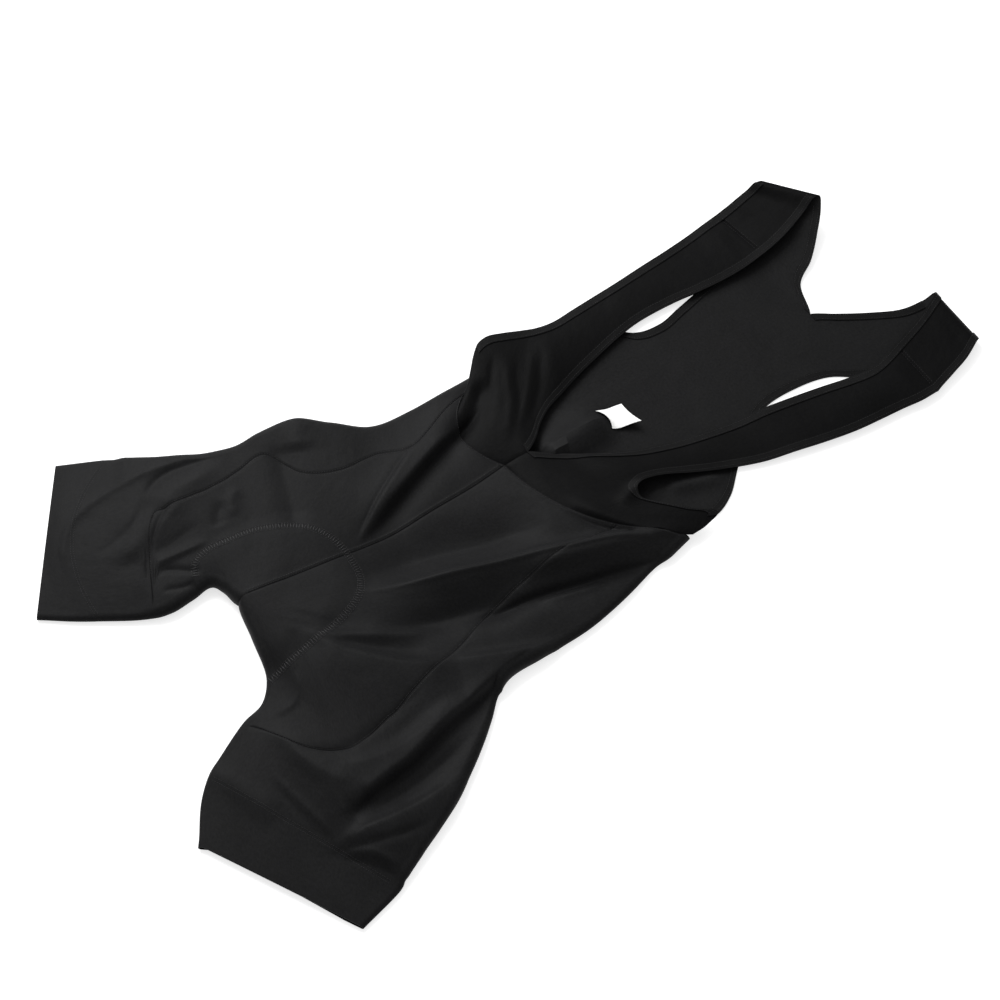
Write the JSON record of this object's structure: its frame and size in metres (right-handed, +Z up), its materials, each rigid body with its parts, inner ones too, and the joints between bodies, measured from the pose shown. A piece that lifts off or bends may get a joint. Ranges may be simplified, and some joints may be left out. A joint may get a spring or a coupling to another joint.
{
  "type": "cycling bib shorts",
  "caption": "Knit cycling bib shorts laid flat on their back, with leg bands, a V neck and straps folded over at the shoulders.",
  "frame": {"origin": "centre of the bounding box's base, on the surface that the garment lies on", "axes": "+Y from the legs to the shoulders, +X to the wearer's left, +Z up from the surface through the front"},
  "size_m": [0.571, 0.9498, 0.0371],
  "materials": {
    "knit": "satin black warp knit of polyamide and elastane",
    "band": "dense black elastic knit with a fine rib",
    "hem": "turned knit hem with two rows of black cover stitch",
    "pad": "brushed black pad cover over foam",
    "label": "white woven tape, blank"
  },
  "bodies": {
    "root": {"front_left": "knit", "front_right": "knit", "side_left": "knit", "side_right": "knit", "back_left": "knit", "back_right": "knit", "hem_band_left": "band", "hem_band_right": "band", "bib_front_left": "knit", "bib_front_right": "knit", "bib_back": "knit", "neck_hem_left": "hem", "neck_hem_right": "hem", "armhole_hem_left": "hem", "armhole_hem_right": "hem", "back_neck_hem_left": "hem", "back_neck_hem_right": "hem", "back_arm_hem_left": "hem", "back_arm_hem_right": "hem", "seat_pad": "pad", "care_label": "label"}
  },
  "joints": []
}
